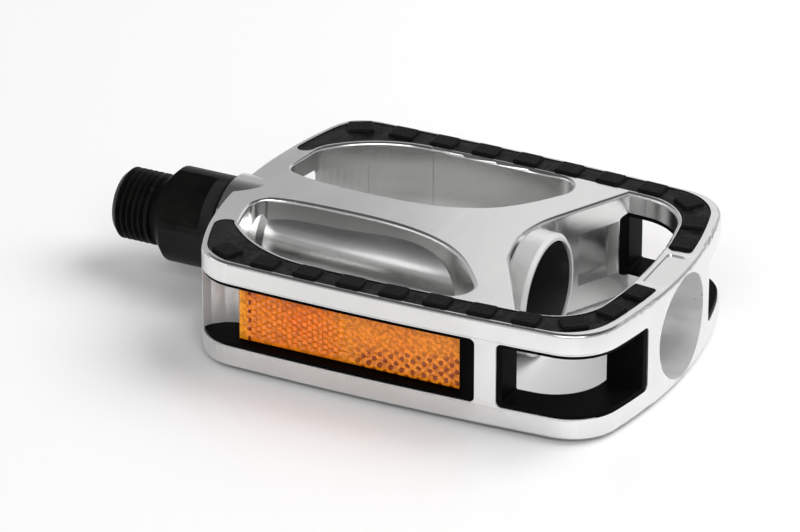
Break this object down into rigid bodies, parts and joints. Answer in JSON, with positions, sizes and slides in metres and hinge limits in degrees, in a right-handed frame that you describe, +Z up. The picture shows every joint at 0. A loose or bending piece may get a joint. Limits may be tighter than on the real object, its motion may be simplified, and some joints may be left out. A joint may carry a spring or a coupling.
{
  "type": "bicycle flat pedal",
  "caption": "Flat city bicycle pedal: bright alloy cage with rubber treads and amber side reflectors, spinning on a threaded steel spindle",
  "frame": {"origin": "on the spindle's axis, at the shoulder that meets the crank", "axes": "+X along the spindle from the crank to the free end of the pedal, +Y across the pedal, +Z up through the top treads"},
  "size_m": [0.1191, 0.0676, 0.0242],
  "materials": {
    "cage_metal": "bright tumbled and lacquered",
    "spindle_steel": "black oxide, oiled",
    "bearing_steel": "hardened and ground, greased",
    "ball_steel": "polished",
    "zinc_steel": "bright zinc",
    "cap_plastic": "smooth black moulding",
    "seal_rubber": "matte",
    "tread_rubber": "fine grain with a slight sheen",
    "frame_plastic": "satin black moulding",
    "amber_backing": "amber moulding, welded",
    "amber_lens": "clear amber with prisms moulded in its back"
  },
  "bodies": {
    "axle": {"spindle": "spindle_steel", "outboard_cone": "bearing_steel", "lock_washer": "zinc_steel", "lock_nut": "zinc_steel"},
    "platform": {"cage_body": "cage_metal", "inboard_bearing_cup": "bearing_steel", "outboard_bearing_cup": "bearing_steel", "dust_cap": "cap_plastic", "dust_seal": "seal_rubber", "front_reflector_housing": "frame_plastic", "rear_reflector_housing": "frame_plastic", "front_reflector_backing": "amber_backing", "rear_reflector_backing": "amber_backing", "front_reflector_lens": "amber_lens", "rear_reflector_lens": "amber_lens", "front_corner_liner": "frame_plastic", "rear_corner_liner": "frame_plastic", "top_front_tread": "tread_rubber", "top_rear_tread": "tread_rubber", "bottom_front_tread": "tread_rubber", "bottom_rear_tread": "tread_rubber"},
    "inboard_ball_ring": {"inboard_balls": "ball_steel"},
    "outboard_ball_ring": {"outboard_balls": "ball_steel"}
  },
  "joints": [
    {"name": "platform_spin", "type": "hinge", "parent": "axle", "child": "platform", "pos_m": [0, 0, 0], "axis": [1, 0, 0], "continuous": true},
    {"name": "inboard_balls_roll", "type": "hinge", "parent": "axle", "child": "inboard_ball_ring", "pos_m": [0.018, 0, 0], "axis": [1, 0, 0], "continuous": true},
    {"name": "outboard_balls_roll", "type": "hinge", "parent": "axle", "child": "outboard_ball_ring", "pos_m": [0.068, 0, 0], "axis": [1, 0, 0], "continuous": true}
  ],
  "couplings": [
    {"joint": "inboard_balls_roll", "follows": "platform_spin", "ratio": 0.585},
    {"joint": "outboard_balls_roll", "follows": "platform_spin", "ratio": 0.585}
  ]
}
